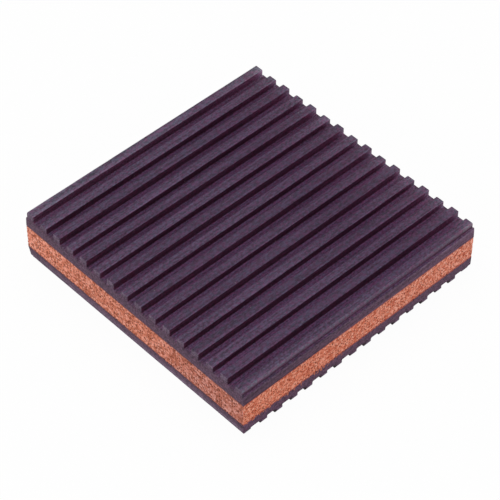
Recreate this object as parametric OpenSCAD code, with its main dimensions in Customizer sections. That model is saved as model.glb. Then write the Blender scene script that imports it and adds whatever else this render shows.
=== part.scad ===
// Anti vibration machine pad, in millimetres.
// A cork core is bonded between two ribbed rubber sheets, and all three are cut flush to one
// square. The ribs of the upper sheet stand up and run along X. The lower sheet is laid across
// it with lower ribs, which hang down and run along Y.
// The origin is under the middle of the pad, on the surface that the pad stands on.

/* [Pad] */
// Side of the square that the core and both sheets are cut to
pad_side = 101.6; // [50:0.1:300]

/* [Cork core] */
// Thickness of the cork core
core_thickness = 9.5; // [3:0.05:25]

/* [Rubber sheets] */
// Width of a rib from flank to flank
rib_width = 3.1; // [1.5:0.05:5.5]
// Distance from the middle of one rib to the middle of the next
rib_pitch = 6.47; // [4.5:0.01:15]
// Radius of the long shoulders of a rib
shoulder_radius = 0.2; // [0.1:0.05:0.8]
// Radius of the fillets at the foot of a rib
foot_radius = 0.3; // [0.1:0.05:0.8]

/* [Upper rubber sheet] */
// Thickness of the web, which is the sheet in the grooves between its ribs
upper_web_thickness = 3.75; // [1:0.05:10]
// Height of a tall rib above the web
upper_rib_height = 2.8; // [1:0.05:8]
// How much lower every second rib stands
upper_short_drop = 0.45; // [0:0.05:0.5]
// Radius of the rounder shoulder on the outer side of the last rib
upper_edge_radius = 0.6; // [0.1:0.05:1.2]

/* [Lower rubber sheet] */
// Thickness of the web, which is the sheet in the grooves between its ribs
lower_web_thickness = 3.45; // [1:0.05:10]
// Depth of a tall rib below the web
lower_rib_height = 1.55; // [1:0.05:8]
// How much less deep every second rib is
lower_short_drop = 0.25; // [0:0.05:0.5]
// Radius of the rounder shoulder on the outer side of the last rib
lower_edge_radius = 0.4; // [0.1:0.05:1.2]

/* [Hidden] */
$fn = 48;

rubber_colour = [0.32, 0.26, 0.33];
cork_colour = [0.77, 0.46, 0.36];

// A radius takes at most this share of the rib, or of the groove or flank beside it
radius_share = 0.4;

// As many ribs as the sheet takes with the feet of the outermost ones still on the web
rib_count = floor((pad_side - rib_width - 2 * foot_radius) / rib_pitch) + 1;
first_rib = (rib_count - 1) * rib_pitch / 2;

// Bare strip of web between the outermost rib and the cut edge, which that rib's foot fills
edge_strip = (pad_side - rib_width) / 2 - first_rib;

// The pad stands on the tall ribs of the lower sheet
core_bottom = lower_rib_height + lower_web_thickness;
core_top = core_bottom + core_thickness;

// Half of the cross-section of one rib: its side towards +X, with the surface of the web at zero.
// It reaches a quarter of the rib past the middle, into the other half. Its two radii are as
// wished, as far as the rib's height and width and the groove beside it leave room.
module rib_side(height, wished_shoulder, wished_foot) {
    flank = rib_width / 2;
    inside = -rib_width / 4;
    shoulder = min(wished_shoulder, radius_share * min(height, rib_width));
    foot = min(wished_foot, radius_share * min(height, rib_pitch - rib_width));
    // The straight flank reaches down into the web
    translate([inside, -foot])
        square([flank - inside, foot + height - shoulder]);
    // The flat crown ends where the shoulder starts
    translate([inside, 0])
        square([flank - inside - shoulder, height]);
    translate([flank - shoulder, height - shoulder])
        circle(r = shoulder);
    difference() {
        translate([flank, -foot])
            square([foot, 2 * foot]);
        translate([flank + foot, foot])
            circle(r = foot);
    }
}

// Cross-section of a whole sheet, with its bonded face at zero and its first rib at +X
module sheet_section(web, tall_height, short_drop, edge_radius) {
    translate([-pad_side / 2, 0])
        square([pad_side, web]);
    for (i = [0 : rib_count - 1]) {
        // Every second rib is a short one
        height = tall_height - (i % 2) * short_drop;
        translate([first_rib - i * rib_pitch, web]) {
            rib_side(height, shoulder_radius, i == 0 ? edge_strip : foot_radius);
            mirror([1, 0])
                rib_side(height,
                    i == rib_count - 1 ? edge_radius : shoulder_radius,
                    i == rib_count - 1 ? edge_strip : foot_radius);
        }
    }
}

// A sheet lying on its bonded face, with its ribs along X and its first rib at +Y
module ribbed_sheet(web, tall_height, short_drop, edge_radius) {
    rotate([90, 0, 90])
        linear_extrude(height = pad_side, center = true)
            sheet_section(web, tall_height, short_drop, edge_radius);
}

module upper_rubber_sheet() {
    color(rubber_colour)
        translate([0, 0, core_top])
            ribbed_sheet(upper_web_thickness, upper_rib_height, upper_short_drop, upper_edge_radius);
}

module cork_core() {
    color(cork_colour)
        translate([-pad_side / 2, -pad_side / 2, core_bottom])
            cube([pad_side, pad_side, core_thickness]);
}

module lower_rubber_sheet() {
    color(rubber_colour)
        translate([0, 0, core_bottom])
            rotate([180, 0, -90])
                ribbed_sheet(lower_web_thickness, lower_rib_height, lower_short_drop, lower_edge_radius);
}

upper_rubber_sheet();
cork_core();
lower_rubber_sheet();
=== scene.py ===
import math

import bpy
from mathutils import Matrix, Vector


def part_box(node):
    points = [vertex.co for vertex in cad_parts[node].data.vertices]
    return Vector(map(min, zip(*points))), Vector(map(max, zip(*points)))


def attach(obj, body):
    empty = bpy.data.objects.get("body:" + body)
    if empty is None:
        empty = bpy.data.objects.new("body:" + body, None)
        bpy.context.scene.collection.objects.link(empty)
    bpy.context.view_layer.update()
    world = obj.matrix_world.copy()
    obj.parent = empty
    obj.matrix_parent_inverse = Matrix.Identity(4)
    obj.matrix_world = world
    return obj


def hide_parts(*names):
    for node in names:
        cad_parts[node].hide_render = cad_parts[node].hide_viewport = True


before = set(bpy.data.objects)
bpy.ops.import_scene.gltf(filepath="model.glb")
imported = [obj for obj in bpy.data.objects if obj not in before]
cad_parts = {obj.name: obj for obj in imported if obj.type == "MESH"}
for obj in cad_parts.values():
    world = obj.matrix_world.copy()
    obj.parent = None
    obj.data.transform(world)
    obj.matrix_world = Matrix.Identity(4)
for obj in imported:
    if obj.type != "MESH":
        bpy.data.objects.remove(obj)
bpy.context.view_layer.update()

# Lower rubber sheet.
# A moulded sheet of black rubber that the pad stands on: a flat web with straight ribs, every second
# one a little lower. It is cut square with a knife and bonded to the cork, with its ribs along Y.
MM = 0.001
RIGHT_ANGLE = math.pi / 2
PAD_SIDE = 101.6 * MM
# Sizes that both sheets share
SHEET_SIZES = {
    "Side": PAD_SIDE,
    "Rib width": 3.1 * MM,
    "Rib pitch": 6.47 * MM,
    "Shoulder": 0.2 * MM,
    "Foot": 0.3 * MM,
    "Edge round": 0.25 * MM,
    "Waver": 0.05 * MM,
    "Ribs": 16,
    "Steps": 90,
}
# A radius takes at most this share of a rib's height
RADIUS_SHARE = 0.4
# Half of a rib's outline has four points round its foot and five round its shoulder
FOOT_POINTS = 4
SHOULDER_POINTS = 5
RIB_POINTS = 2 * (FOOT_POINTS + SHOULDER_POINTS)
# The web's outline has a point at both lower corners and three round each upper one
CORNER_POINTS = 3
WEB_POINTS = 2 * (1 + CORNER_POINTS)
# Along the ribs, the first and last steps are close ones that round the ends
END_STEPS = 4
# The share of their rounding that the ends of the grooves are without, because they are sharper
GROOVE_SHARPNESS = 0.75
# A chip at the end of a rib tapers off over this many times its depth
CHIP_TAPER = 6
BURR_REACH = 1.5 * MM
# Turns a sheet that was swept upwards down onto its bonded face, with its ribs along X
LAY_DOWN = (RIGHT_ANGLE, 0, RIGHT_ANGLE)


class Wire:
    """One output socket in a node tree. Sums and products of wires add Math nodes to that tree."""

    def __init__(self, tree, socket=None):
        self.tree = tree
        self.socket = socket

    def node(self, kind, settings=None, inputs=None, output=0):
        """Adds a node of this kind, sets its settings and then its sockets, and returns an output."""
        made = self.tree.nodes.new(kind)
        for name, value in (settings or {}).items():
            if name == "stops":
                self.set_stops(made.color_ramp, value)
            else:
                setattr(made, name, value)
        for key, value in (inputs or {}).items():
            target = self.pick(made.inputs, key)
            if isinstance(value, Wire):
                self.tree.links.new(value.socket, target)
            else:
                target.default_value = value
        return Wire(self.tree, self.pick(made.outputs, output))

    def also(self, output):
        """Another output of the node that this wire comes from."""
        return Wire(self.tree, self.pick(self.socket.node.outputs, output))

    @staticmethod
    def pick(sockets, key):
        if isinstance(key, int):
            return sockets[key]
        return next(s for s in sockets if s.enabled and s.name == key)

    @staticmethod
    def set_stops(ramp, stops):
        while len(ramp.elements) < len(stops):
            ramp.elements.new(0.5)
        for element, (place, colour) in zip(ramp.elements, stops):
            element.position = place
            element.color = (*colour, 1.0)

    def math(self, operation, *others):
        return self.node("ShaderNodeMath", {"operation": operation}, dict(enumerate((self, *others))))

    def __add__(self, other):
        return self.math("ADD", other)

    __radd__ = __add__

    def __sub__(self, other):
        return self.math("SUBTRACT", other)

    def __rsub__(self, other):
        return self.node("ShaderNodeMath", {"operation": "SUBTRACT"}, {0: other, 1: self})

    def __mul__(self, other):
        return self.math("MULTIPLY", other)

    __rmul__ = __mul__

    def __truediv__(self, other):
        return self.math("DIVIDE", other)

    def __mod__(self, other):
        return self.math("MODULO", other)

    def __gt__(self, other):
        return self.math("GREATER_THAN", other)

    def __lt__(self, other):
        return self.math("LESS_THAN", other)

    def __abs__(self):
        return self.math("ABSOLUTE")

    def at_least(self, other):
        return self.math("MAXIMUM", other)

    def at_most(self, other):
        return self.math("MINIMUM", other)

    def rise(self, low, high):
        """Rises smoothly from 0, where this wire is at low, to 1 at high."""
        settings = {"interpolation_type": "SMOOTHSTEP"}
        return self.node("ShaderNodeMapRange", settings, {"Value": self, "From Min": low, "From Max": high})

    def choose(self, off, on):
        """The value off where this wire is 0, and on where it is 1."""
        return off + self * (on - off)

    def tint(self, off, on):
        """The colour off where this wire is 0, and on where it is 1."""
        inputs = {"Factor": self, "A": off, "B": on}
        return self.node("ShaderNodeMix", {"data_type": "RGBA"}, inputs, "Result")

    def ramp(self, stops):
        """The colour at this place, from stops that are pairs of a place from 0 to 1 and a colour."""
        return self.node("ShaderNodeValToRGB", {"stops": stops}, {"Fac": self}, "Color")

    def plus(self, other):
        """The sum of two colours or vectors, part by part."""
        return self.node("ShaderNodeVectorMath", {"operation": "ADD"}, {0: self, 1: other})

    def times(self, other):
        """The product of two colours or vectors, part by part."""
        return self.node("ShaderNodeVectorMath", {"operation": "MULTIPLY"}, {0: self, 1: other})

    def dyed(self, mask, tone):
        """This colour, multiplied by a tone where the mask is 1 and left as it is where it is 0."""
        unchanged = (1, 1, 1, 1)
        return self.times(mask.tint(unchanged, tone))

    def split(self):
        """The three parts of a vector."""
        first = self.node("ShaderNodeSeparateXYZ", {}, {"Vector": self})
        return first, first.also("Y"), first.also("Z")

    def join(self, x=0.0, y=0.0, z=0.0):
        """A vector of three values."""
        return self.node("ShaderNodeCombineXYZ", {}, {"X": x, "Y": y, "Z": z})

    def noise(self, stretch, **inputs):
        """Noise at this position, with the position first multiplied by stretch."""
        inputs = {"Vector": self.times(stretch), "Scale": 1.0, **inputs}
        return self.node("ShaderNodeTexNoise", {}, inputs, "Fac")

    def cells(self, size, flat=False, output="Distance"):
        """Voronoi cells of about this size at this position, by its first two parts alone if flat."""
        settings = {"voronoi_dimensions": "2D" if flat else "3D"}
        return self.node("ShaderNodeTexVoronoi", settings, {"Vector": self, "Scale": 1 / size}, output)


def new_tree(name, inputs):
    """A Geometry Nodes tree with these named inputs, given as pairs of a name and a socket type."""
    tree = bpy.data.node_groups.new(name, "GeometryNodeTree")
    for label, kind in inputs:
        tree.interface.new_socket(label, in_out="INPUT", socket_type="NodeSocket" + kind)
    tree.interface.new_socket("Geometry", in_out="OUTPUT", socket_type="NodeSocketGeometry")
    entry = tree.nodes.new("NodeGroupInput")
    return tree, {label: Wire(tree, entry.outputs[label]) for label, kind in inputs}


def end_tree(geometry, material):
    """Ends a tree in Realize Instances and Set Material."""
    real = geometry.node("GeometryNodeRealizeInstances", {}, {"Geometry": geometry})
    dressed = real.node("GeometryNodeSetMaterial", {}, {"Geometry": real, "Material": material})
    leave = geometry.tree.nodes.new("NodeGroupOutput")
    geometry.tree.links.new(dressed.socket, leave.inputs["Geometry"])


def store(geometry, name, kind, value):
    """Keeps a value on each point of a geometry under this name."""
    kept = {"Geometry": geometry, "Name": name, "Value": value}
    return geometry.node("GeometryNodeStoreNamedAttribute", {"data_type": kind}, kept)


def stored(geometry, name, kind):
    """The value that each point keeps under this name."""
    return geometry.node("GeometryNodeInputNamedAttribute", {"data_type": kind}, {"Name": name})


def move(geometry, offset):
    """A geometry with its points moved."""
    return geometry.node("GeometryNodeSetPosition", {}, {"Geometry": geometry, "Offset": offset})


def place_points(geometry, position):
    """A geometry with its points put in place."""
    return geometry.node("GeometryNodeSetPosition", {}, {"Geometry": geometry, "Position": position})


def grow(name, tree, values):
    """Runs a tree with these values for its named inputs, and keeps the result as a plain mesh."""
    piece = bpy.data.objects.new(name, bpy.data.meshes.new(name))
    bpy.context.scene.collection.objects.link(piece)
    modifier = piece.modifiers.new("grow", "NODES")
    modifier.node_group = tree
    for item in tree.interface.items_tree:
        if item.in_out == "INPUT":
            modifier[item.identifier] = values[item.name]
    graph = bpy.context.evaluated_depsgraph_get()
    mesh = bpy.data.meshes.new_from_object(piece.evaluated_get(graph), depsgraph=graph)
    piece.modifiers.remove(modifier)
    piece.data = mesh
    return piece


def smooth(piece, sharpest):
    """Shades a piece smooth, apart from edges that turn by more than this angle in degrees."""
    piece.data.shade_smooth()
    piece.data.set_sharp_from_angle(angle=math.radians(sharpest))


def first_rib_across(use):
    """How far the middle of the first rib lies from the middle of the sheet."""
    return (use["Ribs"] - 1) * use["Rib pitch"] / 2


def rib_outline(index, use):
    """Each point of the ribs' outline by its index: how far across and up, and its step up the rib."""
    rib = (index / RIB_POINTS).math("FLOOR")
    step = index % RIB_POINTS
    crown = (RIB_POINTS - 1) / 2
    climb = crown - abs(step - crown)
    facing = (step < crown) * 2 - 1
    is_short = rib % 2
    # Tall ribs, apart from the first, can spread a little towards the first one
    spread = use["Spread"] * (1 - is_short) * (rib > 0.5) * (facing > 0)
    flank = use["Rib width"] / 2 + spread
    height = use["Tall rib"] - is_short * use["Rib drop"]
    first_rib = first_rib_across(use)
    rib_middle = first_rib - rib * use["Rib pitch"]
    # The first and last rib have a foot out to the cut edge, and the last one a rounder outer shoulder
    outer = (facing * rib_middle) > first_rib - use["Rib pitch"] / 2
    last = outer * (facing < 0)
    edge_strip = use["Side"] / 2 - flank - first_rib - use["Edge round"]
    room = height * RADIUS_SHARE
    shoulder = last.choose(use["Shoulder"], use["Edge shoulder"].at_most(room))
    foot = outer.choose(use["Foot"], edge_strip.at_most(room))
    foot_turn = climb * (RIGHT_ANGLE / (FOOT_POINTS - 1))
    foot_out = flank + foot * (1 - foot_turn.math("SINE"))
    foot_up = foot * (1 - foot_turn.math("COSINE"))
    shoulder_turn = (climb - FOOT_POINTS) * (RIGHT_ANGLE / (SHOULDER_POINTS - 1))
    shoulder_out = flank - shoulder * (1 - shoulder_turn.math("COSINE"))
    shoulder_up = height - shoulder * (1 - shoulder_turn.math("SINE"))
    on_shoulder = climb > FOOT_POINTS - 0.5
    across = rib_middle + facing * on_shoulder.choose(foot_out, shoulder_out)
    up = use["Web"] + on_shoulder.choose(foot_up, shoulder_up)
    return across, up, climb


def web_outline(corner, use):
    """Each point of the web's outline by its number, from 0 to 7: how far across and up."""
    halfway = (WEB_POINTS - 1) / 2
    bend = abs(corner - halfway) - 0.5
    edge_turn = (bend - 1).at_least(0.0) * (RIGHT_ANGLE / CORNER_POINTS)
    across = use["Side"] / 2 - use["Edge round"] * (1 - edge_turn.math("COSINE"))
    up = (bend > 0.5) * (use["Web"] - use["Edge round"] * (1 - edge_turn.math("SINE")))
    return ((corner > halfway) * 2 - 1) * across, up


def sheet_section(start, use):
    """A sheet's cross-section as a closed curve: the ribs one by one, then the web."""
    index = start.node("GeometryNodeInputIndex")
    corner = index - use["Ribs"] * RIB_POINTS
    on_web = corner > -0.5
    rib_across, rib_up, climb = rib_outline(index, use)
    web_across, web_up = web_outline(corner, use)
    outline = start.join(on_web.choose(rib_across, web_across), on_web.choose(rib_up, web_up))
    points = use["Ribs"] * RIB_POINTS + WEB_POINTS
    loop = start.node("GeometryNodeCurvePrimitiveCircle", {}, {"Resolution": points})
    section = place_points(loop, outline)
    # Each point keeps the way into the rubber, for the rounded ends, and its step up the section,
    # from -1 on the cut sides over 0 in a groove to 8 on a crown, for the ends and the colours
    tangent_x, tangent_y = start.node("GeometryNodeInputTangent").split()[:2]
    section = store(section, "inward", "FLOAT_VECTOR", start.join(tangent_y * -1, tangent_x))
    return store(section, "section", "FLOAT", on_web.choose(climb, -1.0))


def sheet_path(start, use):
    """A straight path as long as the ribs, with its first and last steps spaced to round the ends."""
    half_side = use["Side"] / 2
    path_ends = {"Start": start.join(z=half_side * -1), "End": start.join(z=half_side)}
    path = start.node("GeometryNodeCurvePrimitiveLine", {}, path_ends)
    path = start.node("GeometryNodeResampleCurve", {}, {"Curve": path, "Count": use["Steps"]})
    half_way = (use["Steps"] - 1) * 0.5
    from_middle = start.node("GeometryNodeInputIndex") - half_way
    from_end = half_way - abs(from_middle)
    end_turn = from_end.at_most(END_STEPS) * (RIGHT_ANGLE / END_STEPS)
    long_step = (half_side - use["End round"]) / (half_way - END_STEPS)
    from_face = use["End round"] * (1 - end_turn.math("COSINE"))
    from_face = from_face + (from_end - END_STEPS).at_least(0.0) * long_step
    return place_points(path, start.join(z=from_middle.math("SIGN") * (half_side - from_face)))


def in_groove(geometry):
    """1 in a groove, falling to 0 up the flanks beside it, and 0 on the cut sides."""
    step_up = stored(geometry, "section", "FLOAT")
    return step_up.rise(-0.5, 0.0) * step_up.rise(4.0, 1.0)


def round_ends(swept, use):
    """Rounds the ends of a sheet that stands as it was swept, with its ribs along z and up along y."""
    here = swept.node("GeometryNodeInputPosition")
    up, along = here.split()[1:]
    to_end = 1 - ((use["Side"] / 2 - abs(along)) / use["End round"]).at_most(1.0)
    inset = use["End round"] * (1 - (1 - to_end * to_end).at_least(0.0).math("SQRT"))
    inset = inset * (1 - in_groove(swept) * GROOVE_SHARPNESS)
    not_bonded = 1 - (up < use["Web"] * 0.01)
    # A shoulder closes by less than its own radius, and the rest of the rounding is straight down
    close = inset.at_most(use["Shoulder"] * 0.85) * not_bonded
    aside, down = stored(swept, "inward", "FLOAT_VECTOR").split()[:2]
    rounded = move(swept, here.join(aside * close, down * close - (inset * not_bonded - close)))
    return rounded.node("GeometryNodeRemoveAttribute", {}, {"Geometry": rounded, "Name": "inward"})


def chipped(depth, from_end):
    """How far a rib is chipped back at this distance from its end."""
    return depth * (1 - from_end / (depth * CHIP_TAPER)).at_least(0.0)


def wear_sheet(laid, use):
    """Lets crowns sink and flanks sway a little along a rib, and leaves the knife's uneven ends."""
    here = laid.node("GeometryNodeInputPosition")
    x, y, z = here.split()
    seeded = here.plus(here.join(z=use["Seed"]))
    sway = seeded.noise((90, 300, 0), Detail=2.0) - 0.5
    sink = seeded.noise((140, 300, 400), Detail=3.0).rise(0.35, 0.75)
    ragged = seeded.noise((0, 700, 700), Detail=3.0).rise(0.3, 0.75)
    raised = z > use["Web"] * 1.02
    cut_end = abs(x) > use["Side"] * 0.499
    off_cut_side = abs(y) < use["Side"] * 0.4975
    # The near end of the first rib and the far ends of the first and last ones can be chipped short
    outermost = first_rib_across(use) - use["Rib pitch"] / 2
    from_near = x + use["Side"] / 2
    from_far = use["Side"] / 2 - x
    chip = chipped(use["Chip"], from_near) * (y > outermost) * (z > use["Web"] * 0.3)
    far_depth = (y > 0.0).choose(use["Last far chip"], use["First far chip"])
    far_chip = chipped(far_depth, from_far) * (abs(y) > outermost) * raised
    # The knife dragged up a burr at the far ends of the grooves
    burr = use["Burr"] * in_groove(laid) * (1 - from_far / BURR_REACH).at_least(0.0)
    return move(laid, here.join(
        cut_end * ragged * use["Waver"] * -2 * x.math("SIGN") + chip - far_chip,
        off_cut_side * raised * sway * use["Waver"] * 2,
        burr - raised * sink * use["Waver"],
    ))


def ribbed_sheet_tree():
    """A sheet on its bonded face: the cross-section, point by point, swept along the ribs and worn."""
    lengths = ("Side", "Web", "Tall rib", "Rib drop", "Rib width", "Rib pitch", "Shoulder", "Foot")
    lengths += ("Edge shoulder", "Edge round", "End round", "Waver", "Burr", "Spread")
    lengths += ("Chip", "First far chip", "Last far chip")
    inputs = [(length, "Float") for length in lengths]
    inputs += [("Ribs", "Int"), ("Steps", "Int"), ("Seed", "Float")]
    inputs += [("Turn", "Rotation"), ("Place", "Vector"), ("Material", "Material")]
    tree, use = new_tree("ribbed sheet", inputs)
    start = Wire(tree)
    path = sheet_path(start, use)
    sweep = {"Curve": path, "Profile Curve": sheet_section(start, use), "Fill Caps": True}
    swept = round_ends(start.node("GeometryNodeCurveToMesh", {}, sweep), use)
    laid = start.node("GeometryNodeTransform", {}, {"Geometry": swept, "Rotation": LAY_DOWN})
    put = {"Geometry": wear_sheet(laid, use), "Translation": use["Place"], "Rotation": use["Turn"]}
    end_tree(start.node("GeometryNodeTransform", {}, put), use["Material"])
    return tree


def new_material(name):
    """An empty material, and a wire to start its nodes from."""
    material = bpy.data.materials.new(name)
    material.use_nodes = True
    material.node_tree.nodes.clear()
    return material, Wire(material.node_tree)


def end_material(surface):
    """Ends a material's nodes in its output."""
    leave = surface.tree.nodes.new("ShaderNodeOutputMaterial")
    surface.tree.links.new(surface.socket, leave.inputs["Surface"])


def spot_on(start, place, turn):
    """The position on a piece in millimetres, as seen from the piece's own place and turn."""
    spot = start.node("ShaderNodeTexCoord", {}, {}, "Object")
    to_piece = {"Vector": spot, "Location": place, "Rotation": turn, "Scale": (MM, MM, MM)}
    return spot.node("ShaderNodeMapping", {"vector_type": "TEXTURE"}, to_piece)


# Colours of the rubber, where the first of a pair is the reddish one and the second the bluish one
MOULDED_RUBBER = ((0.066, 0.0235, 0.059, 1), (0.052, 0.0375, 0.073, 1))
SLICED_RUBBER = ((0.099, 0.049, 0.082, 1), (0.087, 0.053, 0.086, 1))
PAINTED_END_SHADE = (0.012, 0.003, 0.006, 1)
CORK_SHRED = (0.48, 0.15, 0.08, 1)
PALE_DUST = (0.2, 0.17, 0.19, 1)
# Specks of dust lie about this many millimetres apart
DUST_SPACING = 4.5
# Tones, which the colour of the moulded rubber is multiplied by, as painted light, painted shade and
# painted highlights
PLAIN = (1, 1, 1, 1)
SHORT_CROWN = (1.16, 1.22, 1.16, 1)
FIRST_CROWN = (1.62, 2.04, 1.62, 1)
CROWN_RIM_HIGHLIGHT = (1.32, 1.36, 1.32, 1)
SHOULDER_HIGHLIGHT = (2.25, 2.88, 2.16, 1)


class SheetSurface:
    """Where a spot on a sheet lies: millimetres from the middle of its bonded face and from its edges."""

    def __init__(self, start, sizes):
        self.spot = spot_on(start, sizes["Place"], sizes["Turn"])
        self.along, self.across, self.up = self.spot.split()
        half = sizes["Side"] / MM / 2
        self.from_start = (self.along + half) / (2 * half)
        self.from_end = half - abs(self.along)
        self.from_far_end = half - self.along
        self.from_side = half - abs(self.across)
        self.from_first_side = half - self.across
        pitch = sizes["Rib pitch"] / MM
        self.off_rib = (self.across + pitch * sizes["Ribs"] / 2) % pitch - pitch / 2
        self.below_tall_crown = (sizes["Web"] + sizes["Tall rib"]) / MM - self.up
        # The step up the section: 0 to 3 round a foot, 4 to 8 round a shoulder, and -1 on a cut side
        self.section = start.node("ShaderNodeAttribute", {"attribute_name": "section"}, {}, "Fac")
        # The purple of the rubber shifts between reddish, at 0, and bluish, at 1
        self.hue = self.spot.noise((0.9, 1.3, 1.3), Detail=3.0, Roughness=0.7).rise(0.36, 0.64)


def moulded_tones(sheet, finish):
    """The painted light and shade on a sheet's moulded parts, and where its outer shoulders get a painted
    highlight.
    """
    section = sheet.section
    # Flanks get painted shade, lifted by painted light by the first rib and where the Flank stops rise
    by_first = sheet.from_first_side.rise(8.0, 7.0)
    flank = sheet.from_start.ramp(finish["Flank"]).dyed(by_first, (1.55, 1.8, 1.65, 1))
    # Painted light lies in the grooves, most along their edges, in the first one and towards the last
    groove = abs(sheet.off_rib).rise(1.7, 3.0).tint((1.80, 1.48, 1.70, 1), (1.24, 0.92, 1.12, 1))
    groove = groove.times(sheet.across.rise(45, -50).tint((0.87, 0.85, 0.86, 1), (1.15, 1.18, 1.15, 1)))
    groove = groove.dyed(by_first, (1.2, 1.3, 1.15, 1))
    # Painted light lies on the crowns too: most on the first rib, then on the short ones, and least a
    # little past the middle of the sheet, with a painted highlight along one rim
    crown = sheet.below_tall_crown.rise(0.1, 0.3).tint(PLAIN, SHORT_CROWN)
    crown = crown.dyed(abs(sheet.across + 10).rise(16, 6), (0.93, 0.90, 0.92, 1))
    crown = crown.dyed(sheet.from_first_side.rise(18, 8), (1.06, 1.10, 1.05, 1))
    crown = sheet.from_first_side.rise(4.2, 3.8).tint(crown, FIRST_CROWN)
    crown = crown.dyed(sheet.off_rib.rise(-0.7, -1.5), CROWN_RIM_HIGHLIGHT)
    tones = section.rise(1.6, 0.0).tint(flank, groove)
    tones = section.rise(4.2, 6.0).tint(tones, crown)
    # The long outer flanks get painted light and shade, and their shoulders a painted highlight
    outside = sheet.from_side.rise(2.2, 1.6)
    outer_flank = section.rise(3.1, 2.3).tint(finish["Outer flank"], finish["Outer foot"])
    tones = (outside * section.rise(8.0, 7.0)).tint(tones, outer_flank)
    shoulder_highlight = outside * section.rise(3.1, 4.6) * section.rise(8.2, 7.2)
    tones = shoulder_highlight.tint(tones, SHOULDER_HIGHLIGHT)
    # Painted light along the ribs, strongest at their ends
    return tones.times(sheet.from_start.ramp(finish["Light along rib"])), shoulder_highlight


def cut_rubber(sheet, finish):
    """The colour of the cut faces, with painted light that grows towards the ribs, and where the cut ends
    and sides are.
    """
    sliced = sheet.hue.tint(*SLICED_RUBBER)
    end = sheet.from_end.rise(finish["Cut depth"], finish["Cut depth"] * 0.4)
    side = sheet.section.rise(-0.2, -0.8) * (1 - end)
    # Painted light on the cut ends and sides, growing towards the ribs
    pale = side.choose(sheet.up.rise(*finish["Pale ends"]), sheet.up.rise(*finish["Pale sides"]))
    sliced = pale.tint(sliced, finish["Pale"])
    sliced = sliced.times(side.tint(finish["Cut end"], sheet.from_start.tint(*finish["Cut side"])))
    return sliced, end, side


def black_rubber(name, sizes, finish):
    """Moulded black rubber with a purple cast for a sheet of these sizes, coloured by its parts."""
    material, start = new_material(name)
    sheet = SheetSurface(start, sizes)
    tones, shoulder_highlight = moulded_tones(sheet, finish)
    moulded = sheet.hue.tint(*MOULDED_RUBBER).times(tones)
    sliced, end, side = cut_rubber(sheet, finish)
    cut = end.at_least(side)
    # The ends of the grooves take the paler cut colour as painted light, the far ones over a longer stretch
    lit_groove_end = sheet.from_end.rise(1.8, 0.3).at_least(sheet.from_far_end.rise(5.0, 1.0))
    lit_groove_end = sheet.section.rise(1.0, 0.0) * lit_groove_end * 0.6
    colour = cut.at_least(lit_groove_end).tint(moulded, sliced)
    # One edge of each rib's end is painted dark, as painted shade
    end_shade_height = sheet.up.rise(finish["End shade from"], finish["End shade from"] + 0.4)
    colour = (end * sheet.off_rib.rise(0.7, 1.2) * end_shade_height).tint(colour, PAINTED_END_SHADE)
    # Streaks run along the ribs, under a fine grain, and they are evened out under the painted shoulder
    # highlight
    flow = sheet.spot.noise((0.03, 1.3, 1.3), Detail=3.0, Roughness=0.6).rise(0.32, 0.68)
    grain = sheet.spot.noise((1.0, 1.6, 1.6), Detail=2.0, Roughness=0.8).rise(0.34, 0.66)
    shade = 0.40 + 0.46 * flow + 0.74 * grain
    shade = (shoulder_highlight * 0.45).choose(shade, 1.0)
    colour = colour.times(shade.join(shade, shade, shade))
    # Shreds of cork cling to half of the far end, next to the bond
    shred = sheet.spot.noise((0.1, 0.9, 0.6), Detail=2.0, Roughness=0.6).rise(0.42, 0.66)
    shred = (shred - 0.45 - sheet.up * (0.55 / finish["Shreds"])).rise(0.0, 0.1)
    shred = shred * (sheet.from_far_end < 0.3) * sheet.across.rise(4.0, 14.0)
    colour = shred.tint(colour, CORK_SHRED)
    # Sparse pale dust
    speck = sheet.spot.cells(DUST_SPACING).rise(0.06, 0.03)
    colour = (speck * 0.5).tint(colour, PALE_DUST)
    relief = {"Height": grain, "Strength": 0.25, "Distance": 0.1 * MM}
    end_material(colour.node("ShaderNodeBsdfPrincipled", {}, {
        "Base Color": colour,
        "Roughness": 0.62 - 0.1 * flow + 0.1 * cut,
        "Specular IOR Level": 0.15,
        "Normal": grain.node("ShaderNodeBump", {}, relief, "Normal"),
    }))
    return material


LOWEST, HIGHEST = 0, 1


def face_middle(box, face):
    """The middle of the lowest or highest face of a CAD node's box."""
    corners = [Vector(corner) for corner in box]
    middle = (corners[LOWEST] + corners[HIGHEST]) / 2
    return (middle.x, middle.y, corners[face].z)


# Heights above the bonded face and other lengths are in millimetres, and Pale is a colour, that of painted
# light on the cut faces. The rest are
# tones: Flank (painted shade) and Light along rib (painted light) as stops along a rib, Cut side as one for
# each end of the side, and Outer flank and Outer foot as painted light and shade
LOWER_FINISH = {
    "Cut depth": 0.12,
    "Pale": (0.137, 0.092, 0.142, 1),
    "Pale ends": (3.4, 5.0),
    "Pale sides": (0.6, 2.6),
    "Cut end": (1.07, 0.95, 1.05, 1),
    "Cut side": ((1.05, 1.0, 1.0, 1), (1.05, 1.0, 1.0, 1)),
    "End shade from": 3.5,
    "Flank": ((0.0, (0.22, 0.08, 0.12)), (1.0, (0.22, 0.08, 0.12))),
    "Light along rib": ((0.0, (1, 1, 1)), (1.0, (1, 1, 1))),
    "Outer flank": (2.55, 2.1, 2.05, 1),
    "Outer foot": (2.55, 2.1, 2.05, 1),
    "Shreds": 1.3,
}
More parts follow.
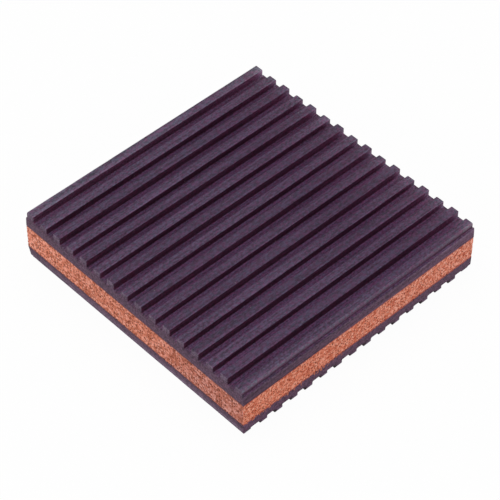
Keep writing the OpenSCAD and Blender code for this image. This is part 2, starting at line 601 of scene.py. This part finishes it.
lower_sizes = {
    **SHEET_SIZES,
    "Web": 3.45 * MM,
    "Tall rib": 1.55 * MM,
    "Rib drop": 0.25 * MM,
    "Edge shoulder": 0.4 * MM,
    "End round": 0.15 * MM,
    "Burr": 0.0,
    "Spread": 0.3 * MM,
    "Chip": 1.0 * MM,
    "First far chip": 0.45 * MM,
    "Last far chip": 0.45 * MM,
    "Seed": 3.0,
    "Turn": (2 * RIGHT_ANGLE, 0, -RIGHT_ANGLE),
    "Place": face_middle(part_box("lower_rubber_sheet"), HIGHEST),
}
sheet_tree = ribbed_sheet_tree()
lower_rubber = black_rubber("rubber_lower", lower_sizes, LOWER_FINISH)
lower_sheet = grow("ribbed_rubber_lower", sheet_tree, {**lower_sizes, "Material": lower_rubber})
smooth(lower_sheet, sharpest=35)
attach(lower_sheet, "root")
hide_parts("lower_rubber_sheet")

# Cork core.
# A slab of composition cork: small granules pressed together with a binder and sawn square. Its cut
# sides show the granules, and it is bonded between the two rubber sheets.
core_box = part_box("cork_core")
core_place = face_middle(core_box, LOWEST)
core_thickness = core_box[HIGHEST][2] - core_box[LOWEST][2]
# Sizes of the cork's grain in millimetres, and the length and width of a sawn granule as shares of them
GRANULE_SIZE = 0.8
PIT_SIZE = 0.95
CHIP_SIZE = 1.1
STROKE_LENGTH = 0.95
STROKE_WIDTH = 0.8
# The four faces lie this far apart in the pattern of the grain, so that none repeats another
FACE_SPACING = 200
GRANULE_COLOURS = (
    (0.0, (0.34, 0.085, 0.046)),
    (0.3, (0.54, 0.170, 0.100)),
    (0.7, (0.69, 0.230, 0.155)),
    (1.0, (0.86, 0.370, 0.280)),
)
PALE_CHIP = (0.90, 0.44, 0.35, 1)
DARK_GRAIN = (0.34, 0.09, 0.045, 1)
DARK_PIT = (0.10, 0.02, 0.008, 1)
DARK_BOND_EDGE = (0.17, 0.06, 0.05, 1)
NO_BINDER = (0, 0, 0, 1)
RED_BINDER_AND_LIGHT = (0.21, 0, 0, 1)


def cork_grain(spot):
    """What a spot in millimetres shows: its granule's own number, pits, fine grain and pale chips."""
    x, y, z = spot.split()
    on_x_face = abs(x) > abs(y)
    # On the Y faces the saw drew the granules out into short strokes that lean towards +X
    lean = math.sqrt(0.5)
    stroke = (x + z) * (lean / STROKE_LENGTH)
    off_stroke = (z - x) * (lean / STROKE_WIDTH)
    apart = (on_x_face * 2 + (x + y > 0)) * FACE_SPACING
    face = spot.join(on_x_face.choose(stroke, y) + apart, on_x_face.choose(off_stroke, z * 0.85))
    granule = face.cells(GRANULE_SIZE, flat=True, output="Color").split()[0]
    pit = face.cells(PIT_SIZE, flat=True)
    pit = pit.rise(0.38, 0.18) * pit.also("Color").split()[0].rise(0.1, 0.8) * on_x_face.choose(1.0, 0.92)
    chip = face.cells(CHIP_SIZE, flat=True)
    chip = chip.rise(0.4, 0.2) * chip.also("Color").split()[1].rise(0.3, 0.9)
    grain = face.noise((1.6, 1.6, 1), Detail=2.0, Roughness=0.8)
    return granule, pit, grain, chip


def cork_slab_tree():
    """A slab swept up from a square outline, with its sides sunk in where granules and pits are."""
    inputs = [("Side", "Float"), ("Thickness", "Float"), ("Points", "Int"), ("Rows", "Int")]
    inputs += [("Granule depth", "Float"), ("Pit depth", "Float"), ("Grain depth", "Float")]
    inputs += [("Place", "Vector"), ("Material", "Material")]
    tree, use = new_tree("cork slab", inputs)
    start = Wire(tree)
    square = {"Width": use["Side"], "Height": use["Side"]}
    outline = start.node("GeometryNodeCurvePrimitiveQuadrilateral", {}, square)
    outline = start.node("GeometryNodeResampleCurve", {}, {"Curve": outline, "Count": use["Points"] * 4})
    path = start.node("GeometryNodeCurvePrimitiveLine", {}, {"End": start.join(z=use["Thickness"])})
    path = start.node("GeometryNodeResampleCurve", {}, {"Curve": path, "Count": use["Rows"]})
    sweep = {"Curve": path, "Profile Curve": outline, "Fill Caps": True}
    slab = start.node("GeometryNodeCurveToMesh", {}, sweep)
    here = start.node("GeometryNodeInputPosition")
    granule, pit, grain = cork_grain(here.times((1 / MM, 1 / MM, 1 / MM)))[:3]
    depth = granule * use["Granule depth"] + pit * use["Pit depth"]
    depth = depth + grain.rise(0.3, 0.8) * use["Grain depth"]
    x, y = here.split()[:2]
    edge = use["Side"] * 0.4999
    sink_x = (abs(x) > edge) * depth * -1 * x.math("SIGN")
    sink_y = (abs(y) > edge) * depth * -1 * y.math("SIGN")
    put = {"Geometry": move(slab, here.join(sink_x, sink_y)), "Translation": use["Place"]}
    end_tree(start.node("GeometryNodeTransform", {}, put), use["Material"])
    return tree


def pressed_cork():
    """Reddish composition cork, coloured granule by granule."""
    material, start = new_material("cork_pressed")
    spot = spot_on(start, core_place, (0, 0, 0))
    granule, pit, grain, chip = cork_grain(spot)
    colour = granule.ramp(GRANULE_COLOURS)
    colour = (chip * 0.8).tint(colour, PALE_CHIP)
    colour = (grain.rise(0.5, 0.66) * 0.5).tint(colour, DARK_GRAIN)
    # Pits hold dark grains, and their near-black colour is also painted shade in the hollows
    colour = (pit * 0.95).tint(colour, DARK_PIT)
    # The cork is darker in a ragged band along the bonds, most at the foot of the -Y face
    x, y, z = spot.split()
    on_y_face = abs(y) > abs(x)
    from_bond = z.at_most(core_thickness / MM - z)
    front_foot = (y * -1 > abs(x)) * z.rise(3.0, 1.0) * x.rise(-20, 10) * 0.25
    by_bond = (from_bond + (grain - 0.5) * 1.6 - on_y_face * 0.15 - front_foot).rise(0.4, 0.1)
    colour = (by_bond * 0.8).tint(colour, DARK_BOND_EDGE)
    # The X faces are duller towards -Y and paler towards +Y. The Y faces get painted light, in a tone that
    # changes towards +X and in a red lift, which also stands for a red binder that the saw spread over
    # their granules
    dull = y.rise(-34, -6).tint((0.86, 0.88, 0.96, 1), (1.07, 1.05, 1.02, 1))
    dull = dull.dyed(y.rise(12, 50), (1.12, 1.15, 1.16, 1))
    y_face_light = x.rise(-45, 50).tint((0.83, 1.06, 0.97, 1), (0.90, 1.23, 1.23, 1))
    binder_and_light = (on_y_face * (1 - pit * 0.7)).tint(NO_BINDER, RED_BINDER_AND_LIGHT)
    colour = colour.times(on_y_face.tint(dull, y_face_light)).plus(binder_and_light)
    relief = {"Height": grain, "Strength": 0.3, "Distance": 0.2 * MM}
    end_material(colour.node("ShaderNodeBsdfPrincipled", {}, {
        "Base Color": colour,
        "Roughness": 0.85,
        "Specular IOR Level": 0.2,
        "Normal": grain.node("ShaderNodeBump", {}, relief, "Normal"),
    }))
    return material


cork_core = grow("pressed_cork_core", cork_slab_tree(), {
    "Side": PAD_SIDE,
    "Thickness": core_thickness,
    "Points": 400,
    "Rows": 39,
    "Granule depth": 0.06 * MM,
    "Pit depth": 0.2 * MM,
    "Grain depth": 0.06 * MM,
    "Place": core_place,
    "Material": pressed_cork(),
})
smooth(cork_core, sharpest=60)
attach(cork_core, "root")
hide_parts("cork_core")

# Upper rubber sheet.
# A like moulded sheet with a thicker web and taller ribs, cut with the same knife. It is bonded to the
# top of the cork with its ribs up and along X, and the machine stands on the crowns of its tall ribs.
UPPER_FINISH = {
    "Cut depth": 0.42,
    "Pale": (0.120, 0.083, 0.125, 1),
    "Pale ends": (3.6, 6.2),
    "Pale sides": (2.6, 3.9),
    "Cut end": (1.03, 1.02, 1.02, 1),
    "Cut side": ((0.77, 0.67, 0.725, 1), (1.22, 1.12, 1.17, 1)),
    "End shade from": 6.5,
    "Flank": (
        (0.0, (0.74, 0.38, 0.44)),
        (0.74, (0.75, 0.39, 0.46)),
        (0.96, (1.18, 0.64, 0.79)),
        (0.975, (1.36, 0.88, 1.08)),
        (1.0, (2.3, 2.2, 2.1)),
    ),
    "Light along rib": (
        (0.0, (1.12, 1.18, 1.11)),
        (0.25, (1.0, 1.03, 1.02)),
        (0.5, (0.98, 1.0, 0.99)),
        (0.75, (0.92, 0.86, 0.91)),
        (0.94, (1.06, 1.04, 0.98)),
        (1.0, (1.65, 2.0, 1.6)),
    ),
    "Outer flank": (0.86, 0.44, 0.6, 1),
    "Outer foot": (1.5, 1.4, 1.42, 1),
    "Shreds": 0.01,
}
upper_sizes = {
    **SHEET_SIZES,
    "Web": 3.75 * MM,
    "Tall rib": 2.8 * MM,
    "Rib drop": 0.45 * MM,
    "Edge shoulder": 0.6 * MM,
    "End round": 0.45 * MM,
    "Burr": 0.25 * MM,
    "Spread": 0.0,
    "Chip": 0.0,
    "First far chip": 0.3 * MM,
    "Last far chip": 0.2 * MM,
    "Seed": 11.0,
    "Turn": (0, 0, 0),
    "Place": face_middle(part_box("upper_rubber_sheet"), LOWEST),
}
upper_rubber = black_rubber("rubber_upper", upper_sizes, UPPER_FINISH)
upper_sheet = grow("ribbed_rubber_upper", sheet_tree, {**upper_sizes, "Material": upper_rubber})
smooth(upper_sheet, sharpest=35)
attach(upper_sheet, "root")
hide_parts("upper_rubber_sheet")

# Floor and background.
# A white table under the pad, which the camera sees as white paper with the pad's faint shadow on it.
# It is open under the pad, so that the light of the room reaches the underside.
FLOOR_HALF = 3.0
OPENING_HALF = PAD_SIDE * 0.495
PAPER_WHITE = (0.88, 0.88, 0.88, 1)
GLOW_SHARE = 0.96
square = ((-1, -1), (1, -1), (1, 1), (-1, 1))
floor_corners = [(x * half, y * half, 0) for half in (FLOOR_HALF, OPENING_HALF) for x, y in square]
floor_faces = [(i, (i + 1) % 4, (i + 1) % 4 + 4, i + 4) for i in range(4)]
floor_mesh = bpy.data.meshes.new("floor")
floor_mesh.from_pydata(floor_corners, [], floor_faces)
floor = bpy.data.objects.new("floor", floor_mesh)
bpy.context.scene.collection.objects.link(floor)


def seen_directly(start):
    """1 for rays from the camera, a mirror or glass, and 0 for rays that carry light to the pad."""
    camera_ray = start.node("ShaderNodeLightPath", {}, {}, "Is Camera Ray")
    seen = camera_ray.at_least(camera_ray.also("Is Glossy Ray"))
    return seen.at_least(camera_ray.also("Is Transmission Ray"))


def white_table():
    """Paper that glows white for the eye, and is clear from below so that the underside can be seen."""
    material, start = new_material("white_table")
    paper = start.node("ShaderNodeBsdfDiffuse", {}, {"Color": PAPER_WHITE})
    glow = start.node("ShaderNodeEmission", {}, {"Color": (1, 1, 1, 1), "Strength": 1.0})
    share = seen_directly(start) * GLOW_SHARE
    table = start.node("ShaderNodeMixShader", {}, {0: share, 1: paper, 2: glow})
    below = start.node("ShaderNodeNewGeometry", {}, {}, "Backfacing")
    clear = start.node("ShaderNodeBsdfTransparent")
    end_material(start.node("ShaderNodeMixShader", {}, {0: below, 1: table, 2: clear}))
    return material


floor_mesh.materials.append(white_table())

# Light.
# A white room with a large soft light overhead and two weaker ones in front of the pad, of which the
# left one is the stronger. The room is pure white to the eye and half as bright to the pad.
ROOM_LIGHT = 0.5
world = bpy.data.worlds.new("white_room")
bpy.context.scene.world = world
world.use_nodes = True
world.node_tree.nodes.clear()
room = Wire(world.node_tree)
room_strength = seen_directly(room).choose(ROOM_LIGHT, 1.0)
background = room.node("ShaderNodeBackground", {}, {"Color": (1, 1, 1, 1), "Strength": room_strength})
room_end = world.node_tree.nodes.new("ShaderNodeOutputWorld")
world.node_tree.links.new(background.socket, room_end.inputs["Surface"])


def soft_light(name, place, width, watts, colour):
    """A square softbox of this width, in metres, aimed at the pad."""
    lamp = bpy.data.lights.new(name, "AREA")
    lamp.shape = "SQUARE"
    lamp.size = width
    lamp.energy = watts
    lamp.color = colour
    holder = bpy.data.objects.new(name, lamp)
    bpy.context.scene.collection.objects.link(holder)
    holder.location = place
    holder.rotation_euler = (-Vector(place)).to_track_quat("-Z", "Y").to_euler()


soft_light("overhead", place=(0.1, 0.25, 1.0), width=1.0, watts=5.0, colour=(0.97, 0.99, 1.0))
soft_light("front_left", place=(-1.0, -0.45, 0.35), width=0.8, watts=3.4, colour=(1.0, 0.99, 0.98))
soft_light("front_right", place=(0.45, -1.0, 0.3), width=0.8, watts=1.2, colour=(1.0, 0.97, 0.92))

# Camera.
# A long lens above the front corner, as in the photograph. It looks past the target by a little to
# the right and up, and the focal length was measured in pixels of the photograph.
azimuth = math.radians(-43.980)
elevation = math.radians(47.482)
roll = math.radians(0.719)
target = Vector((-0.10, -0.15, -0.03)) * MM
distance = 731.89 * MM
shift_right = 0.152 * MM
shift_up = 3.899 * MM
photo_width_pixels = 500
focal_length_pixels = 2248.2
level = Vector((math.cos(azimuth), math.sin(azimuth), 0))
away = Vector((math.sin(azimuth), -math.cos(azimuth), 0))
back = away * math.cos(elevation) + Vector((0, 0, math.sin(elevation)))
upright = back.cross(level)
right = math.cos(roll) * level + math.sin(roll) * upright
top = -math.sin(roll) * level + math.cos(roll) * upright
eye = target + right * shift_right + top * shift_up + back * distance
camera_data = bpy.data.cameras.new("camera")
camera_data.sensor_width = 36.0
camera_data.lens = focal_length_pixels / photo_width_pixels * camera_data.sensor_width
camera_data.clip_start = 0.01
camera_data.clip_end = 50.0
camera = bpy.data.objects.new("camera", camera_data)
bpy.context.scene.collection.objects.link(camera)
camera.matrix_world = Matrix.Translation(eye) @ Matrix((right, top, back)).transposed().to_4x4()
bpy.context.scene.camera = camera
bpy.context.scene.view_settings.view_transform = "Standard"
